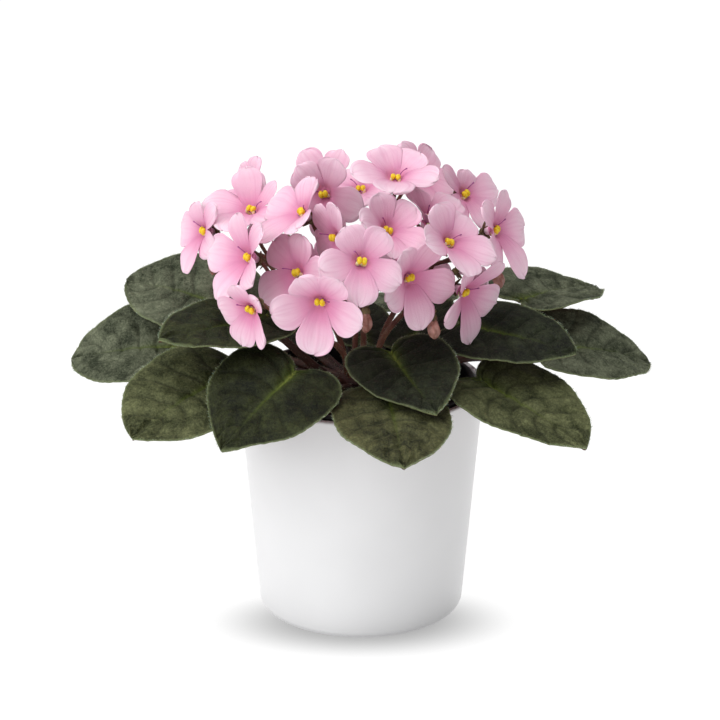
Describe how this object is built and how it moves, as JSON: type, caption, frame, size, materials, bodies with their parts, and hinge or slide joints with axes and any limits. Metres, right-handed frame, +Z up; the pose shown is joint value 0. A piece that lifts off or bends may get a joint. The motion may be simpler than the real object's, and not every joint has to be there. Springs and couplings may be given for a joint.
{
  "type": "potted african violet",
  "caption": "Potted African violet: a rosette of heart-shaped leaves and a dome of pink flowers in a plain tapered round pot.",
  "frame": {"origin": "centre of the pot's flat underside", "axes": "+Z up, -Y towards the plant's front, +X to the right of someone who faces the front"},
  "size_m": [0.2676, 0.2386, 0.2095],
  "materials": {
    "pot": "smooth white glaze, satin",
    "grow_pot": "black moulded plastic, satin",
    "soil": "loose dark potting mix, matt",
    "stem": "fleshy reddish brown stalk with short hairs",
    "leaf": "dark green velvety leaf, quilted, matt",
    "flower_stalk": "slim reddish brown stalk and sepals with short hairs",
    "flower": "soft pale pink petals, deeper at the throat, with bright yellow anthers"
  },
  "bodies": {
    "root": {"pot": "pot", "grow_pot": "grow_pot", "soil": "soil", "crown": "stem", "leaf_01": "leaf", "leaf_02": "leaf", "leaf_03": "leaf", "leaf_04": "leaf", "leaf_05": "leaf", "leaf_06": "leaf", "leaf_07": "leaf", "leaf_08": "leaf", "leaf_09": "leaf", "leaf_10": "leaf", "leaf_11": "leaf", "leaf_12": "leaf", "leaf_13": "leaf", "leaf_14": "leaf", "leaf_15": "leaf", "leaf_16": "leaf", "leaf_17": "leaf", "leaf_18": "leaf", "spray_1": "flower_stalk", "spray_2": "flower_stalk", "spray_3": "flower_stalk", "spray_4": "flower_stalk", "spray_5": "flower_stalk", "spray_6": "flower_stalk", "spray_7": "flower_stalk", "bloom_01": "flower", "bloom_02": "flower", "bloom_03": "flower", "bloom_04": "flower", "bloom_05": "flower", "bloom_06": "flower", "bloom_07": "flower", "bloom_08": "flower", "bloom_09": "flower", "bloom_10": "flower", "bloom_11": "flower", "bloom_12": "flower", "bloom_13": "flower", "bloom_14": "flower", "bloom_15": "flower", "bloom_16": "flower", "bloom_17": "flower", "bloom_18": "flower", "bloom_19": "flower", "bloom_20": "flower", "bloom_21": "flower", "bloom_22": "flower", "bloom_23": "flower", "bloom_24": "flower", "bloom_25": "flower", "bloom_26": "flower"}
  },
  "joints": []
}
